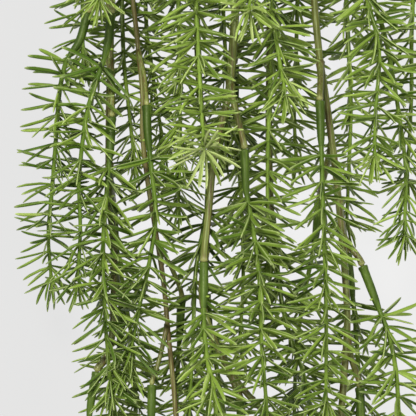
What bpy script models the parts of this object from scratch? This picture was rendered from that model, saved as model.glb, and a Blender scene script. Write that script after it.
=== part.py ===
"""A bunch of moulded foxtail fern, laid down on its needles.

X runs to the right, Y along the bunch from the free tips to the cut end of the main stem, and Z up.
Stems leave the main stem and fork into twigs, and each twig ends in the socket of one needle spray.
Routes and sizes are in millimetres and are turned into metres where the meshes are made.
"""
import math
import random

import bmesh
import bpy
import numpy as np
from mathutils import Matrix, Quaternion, Vector

MM = 0.001

# The bunch is drawn round its own axis, then moved so that the middle of its box is at X = Y = 0
SHIFT_X = -11.5
SHIFT_Y = -15.5
SHIFT_Z = -2.0

# Main stem, with a port for each stem in its lower end
MAIN_TOP = 302.0
MAIN_END = 250.0
MAIN_HEIGHT = 48.0
MAIN_RADIUS = 8.0
MAIN_TAPER = 0.9
MAIN_SIDES = 14
MAIN_EDGE = 0.7
PORT_RING = 5.6
PORT_RADIUS = 1.5
PORT_DEPTH = 12.0

# Stems and twigs, with a thinner peg where they enter a port or a socket
STEM_RADIUS = 1.65
TWIG_RADIUS = 1.5
PORT_PEG_RADIUS = 1.2
PORT_PEG = 10.0
PORT_LEAD = 4.0
SOCKET_PEG_RADIUS = 1.1
SOCKET_PEG = 6.0
SOCKET_LEAD = 1.2
PEG_SHOULDER = 2.3

# Socket of a spray
SOCKET_LENGTH = 20.0
SOCKET_BORE = 1.4
SOCKET_DEPTH = 7.0
SOCKET_RADII = ((0.0, 2.5), (13.0, 2.3), (SOCKET_LENGTH, 1.9))

# Axis and needles of a spray
AXIS_START = SOCKET_LENGTH + 1.5
AXIS_ROOT_RADIUS = 1.35
AXIS_TIP_RADIUS = 0.95
WHORL_START = 25.0
WHORL_TURN = 60.0
WHORL_PITCH = 8.4
BARE_END = 9.0
LAST_WHORLS = (6.0, 10.5)
NEEDLE_BAND = 1.5
NEEDLES_PER_WHORL = 3
NEEDLE_LENGTH = 19.0
NEEDLE_SPREAD = 1.5
NEEDLE_TURNS = (-8, 8)
NEEDLE_TILT = 27.0
NEEDLE_TILTS = (-6, 8)
NEEDLE_ROOT_RADIUS = 1.2
NEEDLE_TIP_RADIUS = 0.15
TUFT_LENGTH = 15.0
TUFT_SHORTER = (1.0, 0.7, 0.4, 0.2)
TUFT_CLOSING = 26.0
TUFT_TILT = 30.0

# Free space that every needle keeps from other pieces, and from needles of its own spray
CLEAR_OTHER = 0.35
CLEAR_OWN = 0.12
FLOOR = -SHIFT_Z

# Ways to turn (degrees), tilt (degrees) and shorten a needle until it is clear
NEEDLE_TRIES = (
    (0, 0, 1.0), (12, 0, 1.0), (-12, 0, 1.0), (0, 14, 1.0), (0, -14, 1.0), (22, 8, 1.0), (-22, 8, 1.0),
    (22, -10, 1.0), (-22, -10, 1.0), (0, 26, 1.0), (0, 0, 0.8), (20, 16, 0.85), (-20, 16, 0.85),
    (0, 0, 0.62), (18, 20, 0.65), (-18, 20, 0.65),
)

# Each stem: the angle of its port, its route, the spray at its end, and its twigs by spray
STEMS = {
    "stem_01": {
        "port": 175, "end": "r",
        "route": [(-10, 235, 51), (-29, 211.5, 58), (-45, 179, 62), (-51, 144, 62), (-52, 119, 62),
                  (-49, 99, 61), (-49, 74, 60), (-49.5, 44, 59), (-49.5, 4, 59), (-47.5, -13, 59),
                  (-47, -33, 59), (-47.5, -57.5, 60), (-49, -68.5, 61), (-52, -76.5, 62)],
        "twigs": {"a": [(-52, 119, 62), (-54, 108, 64), (-57, 101, 65)],
                  "b": [(-50.5, 139, 62), (-48.5, 119, 69), (-48, 106.5, 74)],
                  "c": [(-49, 74, 60), (-48, 61.5, 65), (-48, 51.5, 68.5)],
                  "y1": [(-15, 228, 53), (-21.5, 230, 55.5)],
                  "b5": [(-49.4, 22, 59), (-49.2, 14, 48), (-48.7, 7.5, 36)],
                  "b10": [(-47, -30, 59), (-45.8, -37, 53), (-44.5, -43, 46)]}},
    "stem_02": {
        "port": 215, "end": "s2e",
        "route": [(-8, 231.5, 44), (-19, 204, 52), (-31.5, 169, 52), (-37.5, 134, 52), (-38.5, 114, 52),
                  (-35.5, 84, 52), (-33, 57.5, 52), (-33, 37.5, 51), (-30.5, 14, 51), (-26.5, -11, 51),
                  (-22.5, -36.5, 51), (-20, -63, 52), (-17, -93, 52), (-16, -111, 51)],
        "twigs": {"d": [(-35, 79, 52), (-32, 66.5, 58), (-31, 58, 63)],
                  "z": [(-29, 176.5, 52), (-38, 173, 44), (-44, 167, 38)],
                  "aa": [(-20.5, -58.5, 52), (-23.5, -72, 56), (-26.5, -83, 59)],
                  "b9": [(-25.5, -17, 51), (-20.5, -26, 46), (-16, -36, 37)]}},
    "stem_03": {
        "port": 95, "end": "p",
        "route": [(2, 231.5, 56), (10, 199, 68), (14.5, 159, 74), (15, 129, 75), (14, 104, 75),
                  (13, 84, 75), (10.5, 57.5, 75), (4, 32.5, 79), (2, 18, 81), (0.5, 0.5, 83),
                  (-1.5, -18.5, 84)],
        "twigs": {"f": [(11, 61.5, 75), (13, 51, 75), (16, 39, 75.5)],
                  "n": [(3, 228, 57), (11, 218, 64), (15, 211, 69)]}},
    "stem_04": {
        "port": 15, "end": "x",
        "route": [(7, 235, 52), (27, 211.5, 58), (44, 179, 62), (51, 144, 62), (52.5, 119, 62),
                  (53, 104, 62), (55.5, 77.5, 62), (59, 54, 62), (63, 24.5, 62), (65.5, 0.5, 62),
                  (68.5, -33.5, 62), (69.5, -59.5, 62), (67.5, -89.5, 62), (65.5, -116, 62)],
        "twigs": {"h": [(56, 73, 62), (56, 63, 68)],
                  "g": [(67, -14, 62), (70.5, -19, 63), (74.5, -24, 65)],
                  "w": [(69.5, -63.5, 62), (71.5, -75, 60), (74.5, -83, 58.5)],
                  "b4": [(51.5, 141.5, 62), (58.5, 142, 48), (65, 141, 36)],
                  "m": [(47.5, 164, 62), (44, 151.5, 57), (37.5, 135, 50)],
                  "b7": [(62, 32, 62), (59.5, 21, 50), (57.5, 11, 36)],
                  "b8": [(65.5, 4, 62), (67, -5, 50), (69, -14, 36)]}},
    "stem_05": {
        "port": 135, "end": "e",
        "route": [(-4.5, 238, 59), (-10, 221.5, 72), (-12, 201.5, 80), (-10, 186.5, 85)],
        "twigs": {"y2": [(-10, 221.5, 72), (-20, 225.5, 74), (-30, 222, 77)]}},
    "stem_06": {
        "port": 55, "end": "j",
        "route": [(15, 229, 66), (36, 215, 71), (55, 194, 72), (67, 169, 72), (72.5, 146.5, 72)],
        "twigs": {"l": [(15, 229, 66), (19.5, 220, 73), (23, 211, 78)],
                  "i": [(55, 194, 72), (60.5, 187, 76), (64, 180, 78)]}},
    "stem_07": {
        "port": -25, "end": "k",
        "route": [(9, 239, 46), (41, 224, 50), (71, 204, 56), (91, 181.5, 60), (98.5, 169, 60)],
        "twigs": {"b3": [(41, 224, 50), (46, 206.5, 44), (47, 189, 38)]}},
    "stem_08": {
        "port": 255, "end": "t",
        "route": [(-2.5, 235, 38), (-6, 204, 34), (-8, 174, 32), (-7, 134, 32), (-6, 104, 32),
                  (-5, 74, 32), (-3.5, 49, 31), (0, 34, 29)],
        "twigs": {"b1": [(-6, 204, 34), (-16, 198, 32), (-26, 190, 31)],
                  "b2": [(-4.2, 220, 36), (2, 204, 38), (7, 189, 40)],
                  "b13": [(-5.2, 212, 35), (-10, 203, 37), (-13, 193, 38.5)]}},
    "stem_09": {
        "port": 295, "end": "u",
        "route": [(4.5, 235, 38), (18, 204, 32), (26, 174, 30), (30, 144, 29), (31.5, 114, 28),
                  (31.5, 84, 27), (31, 54, 27), (31, 24, 30), (31.5, 8, 34.5)],
        "twigs": {"v": [(31.5, 99, 27.5), (24, 91, 24.5), (17, 83, 22)]}},
    "stem_10": {
        "port": None, "end": "b11",
        "route": [(0, 235, 46), (6, 204, 48), (12.5, 164, 49), (14, 129, 49), (13.5, 104, 48),
                  (12.3, 84, 47), (10, 57.5, 46), (4.5, 34, 44), (2, 18, 42), (0.5, 2, 40),
                  (-1.5, -22, 36), (-3, -46, 38), (3, -66, 42), (11, -83.5, 46)],
        "twigs": {"b6": [(-1.5, -22, 36), (-1.6, -30, 31), (-1.5, -37, 26)],
                  "b12": [(11, -83.5, 46), (22, -96, 52), (33, -107, 57)]}},
}

# Each spray: the route of its axis, from the mouth of its socket to the root of its tip tuft
SPRAYS = {
    "e": [(-8.5, 175.5, 86), (-7, 134, 95), (-6, 104, 97), (-4.2, 66, 98), (-2.8, 42, 101),
          (-1.8, 28, 107)],
    "l": [(25, 204, 80), (27, 154, 92), (29, 114, 96), (34.5, 75.5, 98), (38, 55, 96)],
    "y2": [(-38, 216, 78), (-45, 184, 92), (-50, 149, 102), (-52.5, 119, 108), (-53, 101.5, 104)],
    "n": [(17, 205, 72), (20, 174, 84), (21, 139, 94), (21, 111.5, 102), (20, 95.5, 110)],
    "y1": [(-29, 229, 57), (-46, 201, 51), (-58, 166, 46), (-63, 129, 43), (-63.5, 99, 41), (-63, 76, 40)],
    "j": [(75, 134, 72), (82, 104, 74), (88, 84, 75), (94, 51, 75), (98, 19, 74), (97.5, -14, 71)],
    "i": [(66, 171.5, 80), (72, 134, 86), (78, 104, 90), (84, 77.5, 91), (82.5, 49, 90), (82, 25.5, 87)],
    "k": [(101, 159, 60), (103, 124, 58), (102, 84, 56), (102, 54, 54), (100, 14, 52)],
    "a": [(-60, 97, 66), (-64, 83, 68), (-70.5, 73, 68), (-74, 57.5, 66), (-75.5, 39, 64),
          (-78, 9, 60), (-80, -13.5, 57), (-78.5, -37, 54)],
    "b": [(-48, 96, 76), (-49.5, 82, 78), (-52, 72, 78), (-57, 58, 77), (-61, 41.5, 75), (-64, 14, 72),
          (-63.5, -11, 70), (-65, -38, 68)],
    "c": [(-48, 45, 70), (-48.5, 29, 73), (-50.5, 4, 75), (-52, -21, 75), (-51, -56, 72),
          (-48, -93.5, 66)],
    "d": [(-30.5, 51, 66), (-30, 37, 68), (-27.5, 14, 70), (-26, -4, 70), (-29, -26, 69),
          (-34, -48.5, 67), (-38, -68.5, 65), (-42.5, -83, 63)],
    "f": [(18, 29, 76), (19, 8, 78), (22.5, -12, 79), (25.5, -36, 78), (26.5, -66, 76), (29, -98, 72),
          (30, -122, 69)],
    "p": [(-2, -27, 84), (-2, -46, 88), (-2, -57.5, 89), (-0.5, -73, 90), (3.5, -96, 88),
          (5.5, -136, 84), (6, -177, 78)],
    "g": [(77, -29, 66), (85, -50, 68), (90, -63.5, 69), (93.5, -81, 68), (95, -103.5, 66),
          (96, -146, 62), (96, -176, 58)],
    "h": [(55.5, 53, 74), (56, 34, 77), (56.5, 14, 79), (57, -3.5, 80), (58, -30, 79), (58.5, -61, 78),
          (58.5, -97, 75)],
    "w": [(76, -90, 58), (77, -111, 60), (79, -146, 58), (78, -191, 54), (77, -236, 50)],
    "x": [(64.5, -127, 62), (63, -148.5, 62), (61, -191, 56), (62, -246, 48)],
    "s2e": [(-15.5, -118, 50), (-13, -141, 52), (-11, -176, 50), (-12, -216, 44), (-14, -253.5, 40)],
    "aa": [(-28, -88.5, 60), (-28.5, -108.5, 62), (-30, -146, 60), (-32, -191, 54), (-33, -232, 48)],
    "r": [(-55.5, -82, 62), (-58, -94, 63), (-60, -111, 63), (-63, -146, 60), (-64, -186, 56),
          (-63, -226, 50)],
    "t": [(2, 23, 28), (0, 4, 28), (-3, -14, 28), (-6, -30, 28), (-7, -48, 30), (-8, -76, 33),
          (-10, -111, 34)],
    "u": [(32, -3.5, 38), (34, -21, 42), (37, -46, 46), (41, -63.5, 48), (48, -83.5, 48),
          (51, -101, 46), (52, -146, 40)],
    "m": [(33.5, 121.5, 47), (32, 84, 50), (31, 54, 52), (30, 24, 52), (30, -3.5, 52), (31, -25, 50)],
    "v": [(13.5, 73, 21), (14.5, 39, 23), (17, 4, 24), (18, -36, 22), (16, -71, 20)],
    "z": [(-45, 160, 36), (-44.5, 134, 38), (-43.5, 104, 40), (-42.5, 74, 40), (-40, 49, 38),
          (-37, 21.5, 36)],
    "b1": [(-30, 180, 30), (-32, 134, 27), (-31.5, 94, 23), (-29, 74, 22), (-25.5, 49, 20),
           (-22.5, 30, 20)],
    "b2": [(8.5, 175, 40), (7, 134, 36), (8, 94, 32), (10, 59, 28), (9, 29, 26)],
    "b3": [(46, 174, 36), (46, 129, 32), (45, 84, 28), (44, 49, 26), (45, 25, 24)],
    "b4": [(69.5, 134, 30), (71, 94, 26), (73, 54, 22), (72, 19, 20), (71, -8.5, 18)],
    "b5": [(-48.5, 2, 27), (-47, -18, 23), (-43, -43, 20), (-38, -78, 18), (-37, -136, 18)],
    "b6": [(-1, -44, 22), (1, -64, 21), (6, -91, 20), (10, -126, 19), (9, -181, 18)],
    "b7": [(56.5, 3, 27), (54.5, -18, 22), (49, -46, 19), (45, -78, 18), (44, -136, 18)],
    "b8": [(71, -23, 26), (75, -56, 22), (77, -91, 20), (75, -131, 18), (72, -166, 18)],
    "b9": [(-13.5, -46, 30), (-14.5, -66, 26), (-16, -96, 22), (-16, -136, 20), (-18, -168.5, 18)],
    "b10": [(-43.8, -50, 40), (-44.5, -70, 39), (-48, -96, 37), (-50, -131, 34), (-52, -176, 28)],
    "b11": [(16, -97, 50), (18, -121, 50), (21, -156, 46), (22, -196, 40), (21, -236, 34)],
    "b12": [(41, -117, 60), (39, -136, 60), (37, -176, 54), (38, -216, 46), (39, -256, 38)],
    "b13": [(-14, 180, 40), (-16, 140, 46), (-15, 104, 49), (-14.5, 74, 50), (-14, 40, 48),
            (-14.5, 14, 46), (-15, 1, 45)],
}


# Routes

def smooth_route(points, steps=8):
    """A smooth curve through the points, as closely spaced points."""
    inner = [Vector(p) for p in points]
    ends = [2 * inner[0] - inner[1]] + inner + [2 * inner[-1] - inner[-2]]
    curve = []
    for a, b, c, d in zip(ends, ends[1:], ends[2:], ends[3:]):
        for step in range(steps):
            t = step / steps
            curve.append(0.5 * (2 * b + (c - a) * t + (2 * a - 5 * b + 4 * c - d) * t ** 2
                                + (3 * b - a - 3 * c + d) * t ** 3))
    curve.append(inner[-1])
    return curve


class Route:
    """A curve that is read by the distance along it, with a side direction that doesn't twist."""

    def __init__(self, points):
        self.points = smooth_route(points)
        self.marks = [0.0]
        for a, b in zip(self.points, self.points[1:]):
            self.marks.append(self.marks[-1] + (b - a).length)
        self.length = self.marks[-1]
        self.tangents = [(b - a).normalized() for a, b in zip(self.points, self.points[1:])]
        side = self.tangents[0].cross(Vector((0, 0, 1))).normalized()
        self.sides = [side]
        for a, b in zip(self.tangents, self.tangents[1:]):
            side = a.rotation_difference(b) @ side
            self.sides.append(side)

    def at(self, distance):
        """Point, direction and side direction at a distance from the start."""
        index = int(np.searchsorted(self.marks, distance, side="right")) - 1
        index = min(max(index, 0), len(self.tangents) - 1)
        point = self.points[index] + self.tangents[index] * (distance - self.marks[index])
        return point, self.tangents[index], self.sides[index]


def port_place(stem):
    """Centre of a stem's port, on the end face of the main stem."""
    angle = STEMS[stem]["port"]
    if angle is None:
        return Vector((0, MAIN_END, MAIN_HEIGHT))
    x = PORT_RING * math.cos(math.radians(angle))
    z = MAIN_HEIGHT + PORT_RING * math.sin(math.radians(angle))
    return Vector((x, MAIN_END, z))


def socket_peg(spray):
    """The last points of the stem or twig that carries a spray, with their radii."""
    route = ROUTES[spray]
    mouth, along, _ = route.at(0.0)
    return [
        (mouth - along * (SOCKET_LEAD + PEG_SHOULDER), TWIG_RADIUS),
        (mouth - along * SOCKET_LEAD, SOCKET_PEG_RADIUS),
        (route.at(SOCKET_PEG)[0], SOCKET_PEG_RADIUS),
    ]


def stem_lines(stem):
    """The stem and its twigs, each as points with radii."""
    port = port_place(stem)
    main = [(port + Vector((0, PORT_PEG, 0)), PORT_PEG_RADIUS),
            (port - Vector((0, PORT_LEAD, 0)), PORT_PEG_RADIUS)]
    main += [(Vector(p), STEM_RADIUS) for p in STEMS[stem]["route"]]
    lines = [main + socket_peg(STEMS[stem]["end"])]
    for spray, points in STEMS[stem]["twigs"].items():
        lines.append([(Vector(p), TWIG_RADIUS) for p in points] + socket_peg(spray))
    return lines


ROUTES = {spray: Route(points) for spray, points in SPRAYS.items()}


# Free space between needles, stems and axes

class Occupied:
    """Tapered rods that are already placed, for the distance test."""

    def __init__(self, size=8000):
        self.start = np.zeros((size, 3))
        self.span = np.zeros((size, 3))
        self.radius = np.zeros((size, 2))
        self.node = np.zeros(size, dtype=int)
        self.whorl = np.zeros(size, dtype=int)
        self.count = 0

    def add(self, start, end, start_radius, end_radius, node, whorl):
        k = self.count
        self.start[k] = start
        self.span[k] = np.array(end) - np.array(start)
        self.radius[k] = (start_radius, end_radius)
        self.node[k] = node
        self.whorl[k] = whorl
        self.count += 1

    def is_clear(self, start, end, node, whorl):
        """Whether a needle keeps its distance from everything but its own axis and whorl."""
        n = self.count
        begin = np.array(start)
        d1 = np.array(end) - begin
        d2 = self.span[:n]
        gap = begin - self.start[:n]
        a = d1 @ d1
        e = np.maximum((d2 * d2).sum(axis=1), 1e-9)
        b = d2 @ d1
        c = gap @ d1
        f = (d2 * gap).sum(axis=1)
        det = np.maximum(a * e - b * b, 1e-9)
        s = np.clip((b * f - c * e) / det, 0, 1)
        t = np.clip((b * s + f) / e, 0, 1)
        s = np.clip((b * t - c) / a, 0, 1)
        t = np.clip((b * s + f) / e, 0, 1)
        apart = np.linalg.norm(gap + s[:, None] * d1 - t[:, None] * d2, axis=1)
        needle = NEEDLE_ROOT_RADIUS + s * (NEEDLE_TIP_RADIUS - NEEDLE_ROOT_RADIUS)
        other = self.radius[:n, 0] + t * (self.radius[:n, 1] - self.radius[:n, 0])
        own = self.node[:n] == node
        ignored = own & ((self.whorl[:n] == whorl) | (self.whorl[:n] < 0))
        margin = np.where(own, CLEAR_OWN, CLEAR_OTHER)
        return bool(np.all(ignored | (apart - needle - other > margin)))


def fill_stems(occupied):
    """Put the main stem, stems, sockets and spray axes in the table of rods."""
    top = (0, MAIN_TOP, MAIN_HEIGHT)
    occupied.add(top, (0, MAIN_END, MAIN_HEIGHT), MAIN_RADIUS, MAIN_RADIUS, -1, -1)
    for number, stem in enumerate(STEMS):
        for line in stem_lines(stem):
            for (a, ra), (b, rb) in zip(line, line[1:]):
                occupied.add(a, b, ra, rb, 1000 + number, -1)
    for number, spray in enumerate(SPRAYS):
        route = ROUTES[spray]
        occupied.add(route.at(0.0)[0], route.at(SOCKET_LENGTH)[0], SOCKET_RADII[0][1], SOCKET_RADII[1][1],
                     number, -1)
        marks = np.arange(SOCKET_LENGTH, route.length, WHORL_PITCH)
        for a, b in zip(marks, marks[1:]):
            occupied.add(route.at(a)[0], route.at(b)[0], AXIS_ROOT_RADIUS, AXIS_ROOT_RADIUS, number, -1)
        occupied.add(route.at(marks[-1])[0], route.at(route.length)[0], AXIS_ROOT_RADIUS,
                     AXIS_ROOT_RADIUS, number, -1)


# Meshes

def add_object(name, mesh, material, collection):
    """A new object with this mesh and material, in metres and at its final place."""
    mesh.transform(Matrix.Translation(Vector((SHIFT_X, SHIFT_Y, SHIFT_Z)) * MM))
    mesh.materials.clear()
    mesh.materials.append(material)
    obj = bpy.data.objects.new(name, mesh)
    collection.objects.link(obj)
    return obj


def plastic(name, colour, roughness):
    """A plain plastic of one colour."""
    material = bpy.data.materials.new(name)
    material.use_nodes = True
    shader = material.node_tree.nodes["Principled BSDF"]
    shader.inputs["Base Color"].default_value = (*colour, 1.0)
    shader.inputs["Roughness"].default_value = roughness
    shader.inputs["Metallic"].default_value = 0.0
    material.diffuse_color = (*colour, 1.0)
    return material


class SprayMesh:
    """The vertices and faces of one spray, from the socket to the tip tuft."""

    def __init__(self, route):
        self.route = route
        self.points = []
        self.faces = []

    def ring(self, distance, radius, sides, turn=0.0):
        """A ring of points round the route; returns their numbers."""
        centre, along, side = self.route.at(distance)
        first = len(self.points)
        for k in range(sides):
            spin = Quaternion(along, math.radians(turn) + 2 * math.pi * k / sides)
            self.points.append(centre + spin @ side * radius)
        return list(range(first, first + sides))

    def band(self, low, high):
        """Flat sides between two rings of the same number of points."""
        for k in range(len(low)):
            n = (k + 1) % len(low)
            self.faces.append((low[k], low[n], high[n], high[k]))

    def neck(self, low, high):
        """Triangles between two rings of three, the upper one turned by half a side."""
        for k in range(3):
            n = (k + 1) % 3
            self.faces.append((low[k], low[n], high[k]))
            self.faces.append((high[k], low[n], high[n]))

    def needle(self, low, high, k, tip):
        """One side of a band drawn out to a point."""
        n = (k + 1) % len(low)
        self.points.append(tip)
        point = len(self.points) - 1
        corners = (low[k], low[n], high[n], high[k])
        for a, b in zip(corners, corners[1:] + corners[:1]):
            self.faces.append((a, b, point))


def socket_faces(shape):
    """The socket: a hollow mouth, a plain sleeve and the shoulder that the axis leaves from."""
    bore = SOCKET_BORE / math.cos(math.pi / 6)
    mouth = shape.ring(0.0, bore, 6)
    floor = shape.ring(SOCKET_DEPTH, bore, 6)
    shape.band(floor, mouth)
    shape.faces.append(tuple(floor))
    last = mouth
    for distance, radius in SOCKET_RADII:
        outer = shape.ring(distance, radius, 6)
        shape.band(last, outer)
        last = outer
    axis = shape.ring(AXIS_START, AXIS_ROOT_RADIUS, 3)
    for k in range(3):
        n = (k + 1) % 3
        a, b, c = last[2 * k], last[2 * k + 1], last[(2 * k + 2) % 6]
        shape.faces.append((a, b, axis[k]))
        shape.faces.append((axis[k], b, axis[n]))
        shape.faces.append((b, c, axis[n]))
    return axis


def whorl_marks(length):
    """Distances of the whorls along an axis, closer together near the tip."""
    marks = list(np.arange(WHORL_START, length - BARE_END, WHORL_PITCH))
    return marks + [marks[-1] + further for further in LAST_WHORLS]


def spray_mesh(name, number, occupied, chance):
    """One closed mesh: socket, axis, needles that are clear of everything, and the tuft."""
    route = ROUTES[name]
    shape = SprayMesh(route)
    last = socket_faces(shape)
    marks = whorl_marks(route.length)
    grown = chance.uniform(0.95, 1.06)
    for whorl, mark in enumerate(marks):
        share = mark / route.length
        radius = AXIS_ROOT_RADIUS + share * (AXIS_TIP_RADIUS - AXIS_ROOT_RADIUS)
        turn = WHORL_TURN * (whorl + 1)
        low = shape.ring(mark, radius, 3, turn)
        high = shape.ring(mark + NEEDLE_BAND, radius, 3, turn)
        shape.neck(last, low)
        centre, along, _ = route.at(mark + NEEDLE_BAND / 2)
        closing = max(0.0, 1.0 - (route.length - mark) / TUFT_CLOSING)
        for k in range(NEEDLES_PER_WHORL):
            n = (k + 1) % 3
            root = (shape.points[low[k]] + shape.points[low[n]]
                    + shape.points[high[k]] + shape.points[high[n]]) / 4
            outward = (root - centre).normalized()
            base_turn = chance.uniform(*NEEDLE_TURNS)
            base_tilt = NEEDLE_TILT + chance.uniform(*NEEDLE_TILTS) + TUFT_TILT * closing
            reach = NEEDLE_LENGTH * grown + chance.uniform(-NEEDLE_SPREAD, NEEDLE_SPREAD)
            for turn_by, tilt_by, shorter in NEEDLE_TRIES:
                away = Quaternion(along, math.radians(base_turn + turn_by)) @ outward
                tilt = math.radians(base_tilt + tilt_by * (1.0 - closing))
                tip = root + (away * math.cos(tilt) + along * math.sin(tilt)) * reach * shorter
                tip.z = max(tip.z, FLOOR)
                if occupied.is_clear(root, tip, number, whorl):
                    occupied.add(root, tip, NEEDLE_ROOT_RADIUS, NEEDLE_TIP_RADIUS, number, whorl)
                    shape.needle(low, high, k, tip)
                    break
            else:
                shape.faces.append((low[k], low[n], high[n], high[k]))
        last = high
    end, along, _ = route.at(route.length)
    for shorter in TUFT_SHORTER:
        tip = end + along * TUFT_LENGTH * shorter
        tip.z = max(tip.z, FLOOR)
        if occupied.is_clear(end, tip, number, len(marks) - 1):
            break
    occupied.add(end, tip, AXIS_TIP_RADIUS, NEEDLE_TIP_RADIUS, number, len(marks) - 1)
    shape.points.append(tip)
    for k in range(3):
        shape.faces.append((last[k], last[(k + 1) % 3], len(shape.points) - 1))
    mesh = bpy.data.meshes.new("spray_" + name)
    mesh.from_pydata([p * MM for p in shape.points], [], shape.faces)
    return weld(mesh)


def tube_mesh(name, line, roundness=1):
    """A round wire through the points of a line, with filled ends."""
    curve = bpy.data.curves.new(name, "CURVE")
    curve.dimensions = "3D"
    curve.bevel_depth = MM
    curve.bevel_resolution = roundness
    curve.use_fill_caps = True
    spline = curve.splines.new("POLY")
    spline.points.add(len(line) - 1)
    for point, (place, radius) in zip(spline.points, line):
        point.co = (*(place * MM), 1.0)
        point.radius = radius
    carrier = bpy.data.objects.new(name, curve)
    bpy.context.scene.collection.objects.link(carrier)
    bpy.context.view_layer.update()
    graph = bpy.context.evaluated_depsgraph_get()
    mesh = bpy.data.meshes.new_from_object(carrier.evaluated_get(graph))
    bpy.data.objects.remove(carrier)
    return weld(mesh)


def weld(mesh):
    """Join the points that lie on each other and face every side outward."""
    shape = bmesh.new()
    shape.from_mesh(mesh)
    bmesh.ops.remove_doubles(shape, verts=shape.verts, dist=0.000005)
    bmesh.ops.recalc_face_normals(shape, faces=shape.faces)
    shape.to_mesh(mesh)
    shape.free()
    return mesh


def boolean(obj, operation, operands):
    """An exact Boolean with every object of a collection."""
    modifier = obj.modifiers.new(operation.lower(), "BOOLEAN")
    modifier.operation = operation
    modifier.operand_type = "COLLECTION"
    modifier.collection = operands
    modifier.solver = "EXACT"
    return modifier


def cutter_collection(name, parent):
    """A collection for the operands of one Boolean."""
    collection = bpy.data.collections.new(name)
    parent.children.link(collection)
    return collection


def hide_cutter(obj):
    """Keep an operand out of the picture."""
    obj.hide_render = True
    obj.display_type = "WIRE"


def make_stem(stem, material, collection, cutters):
    """One stem with its twigs joined to it."""
    lines = stem_lines(stem)
    twigs = cutter_collection(stem + "_twigs", cutters)
    for number, line in enumerate(lines[1:]):
        mesh = tube_mesh(f"{stem}_twig_{number}", line, roundness=0)
        hide_cutter(add_object(f"{stem}_twig_{number}", mesh, material, twigs))
    obj = add_object(stem, tube_mesh(stem, lines[0]), material, collection)
    boolean(obj, "UNION", twigs)
    return obj


def make_main_stem(material, collection, cutters):
    """The thick stem that every other stem leaves from, with a cut upper end."""
    shape = bmesh.new()
    length = MAIN_TOP - MAIN_END
    turn = Matrix.Rotation(math.radians(-90), 4, "X")
    place = Matrix.Translation(Vector((0, MAIN_END + length / 2, MAIN_HEIGHT)) * MM)
    bmesh.ops.create_cone(shape, cap_ends=True, segments=MAIN_SIDES, radius1=MAIN_RADIUS * MM,
                          radius2=MAIN_RADIUS * MAIN_TAPER * MM, depth=length * MM, matrix=place @ turn)
    rims = [e for e in shape.edges if abs(e.verts[0].co.y - e.verts[1].co.y) < 1e-6]
    bmesh.ops.bevel(shape, geom=rims, offset=MAIN_EDGE * MM, segments=1, affect="EDGES")
    mesh = bpy.data.meshes.new("main_stem")
    shape.to_mesh(mesh)
    shape.free()
    obj = add_object("main_stem", mesh, material, collection)
    bores = cutter_collection("main_stem_bores", cutters)
    corner_radius = PORT_RADIUS / math.cos(math.pi / 6)
    for stem in STEMS:
        port = port_place(stem)
        line = [(port - Vector((0, 2, 0)), corner_radius), (port + Vector((0, PORT_DEPTH, 0)), corner_radius)]
        hide_cutter(add_object("bore_" + stem, tube_mesh("bore_" + stem, line), material, bores))
    boolean(obj, "DIFFERENCE", bores)
    return obj


# The bunch

for old in list(bpy.data.objects):
    bpy.data.objects.remove(old)

bunch = bpy.data.collections.new("foxtail_fern")
cutters = bpy.data.collections.new("cutters")
bpy.context.scene.collection.children.link(bunch)
bpy.context.scene.collection.children.link(cutters)

bark = plastic("main_stem_plastic", (0.16, 0.13, 0.06), 0.7)
olive = plastic("stem_plastic", (0.20, 0.20, 0.08), 0.6)
green = plastic("spray_plastic", (0.11, 0.22, 0.05), 0.5)

make_main_stem(bark, bunch, cutters)
for stem in STEMS:
    make_stem(stem, olive, bunch, cutters)

rods = Occupied()
fill_stems(rods)
seeded = random.Random(7)
for number, spray in enumerate(SPRAYS):
    add_object("spray_" + spray, spray_mesh(spray, number, rods, seeded), green, bunch)
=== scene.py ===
"""Looks of the foxtail fern bunch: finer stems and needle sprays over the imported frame.

X runs to the right, Y along the bunch to the cut end of the main stem, Z up. Shapes are in millimetres, as
in the part's source, until a mesh is finished. Reliefs, the surface and the lamps are in metres.
"""
import math
import random

import bmesh
import bpy
import numpy as np
from mathutils import Matrix, Quaternion, Vector


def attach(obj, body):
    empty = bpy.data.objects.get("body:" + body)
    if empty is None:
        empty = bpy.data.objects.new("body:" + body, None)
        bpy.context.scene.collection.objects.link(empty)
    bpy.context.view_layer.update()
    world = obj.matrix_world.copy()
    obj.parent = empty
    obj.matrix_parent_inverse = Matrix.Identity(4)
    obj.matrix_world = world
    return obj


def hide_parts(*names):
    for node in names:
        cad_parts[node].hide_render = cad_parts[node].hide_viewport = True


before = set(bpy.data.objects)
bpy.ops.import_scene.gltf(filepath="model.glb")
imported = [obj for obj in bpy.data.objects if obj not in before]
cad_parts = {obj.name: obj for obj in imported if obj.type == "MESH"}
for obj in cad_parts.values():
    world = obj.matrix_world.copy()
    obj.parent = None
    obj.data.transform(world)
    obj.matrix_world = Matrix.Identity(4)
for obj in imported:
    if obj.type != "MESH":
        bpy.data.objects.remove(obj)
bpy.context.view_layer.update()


# Stems and twigs
# Each is a steel wire in an extruded skin of olive plastic with fine ribs along it, browner in places.
# Its lower end is a thin peg in the socket of a spray, and its upper end is a peg in the main stem.

MM = 0.001
SHIFT = Vector((-11.5, -15.5, -2.0))
MAIN_END = 250.0
MAIN_HEIGHT = 48.0
PORT_RING = 5.6

# Pegs in the ports of the main stem and in sockets: length, radius, straight run to them, bare length
PORT_PEG = 10.0
PORT_PEG_RADIUS = 1.2
PORT_LEAD = 4.0
PORT_BARE = 5.0
SOCKET_PEG = 6.0
SOCKET_PEG_RADIUS = 1.1
SOCKET_LEAD = 2.0
SOCKET_BARE = 1.0

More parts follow.
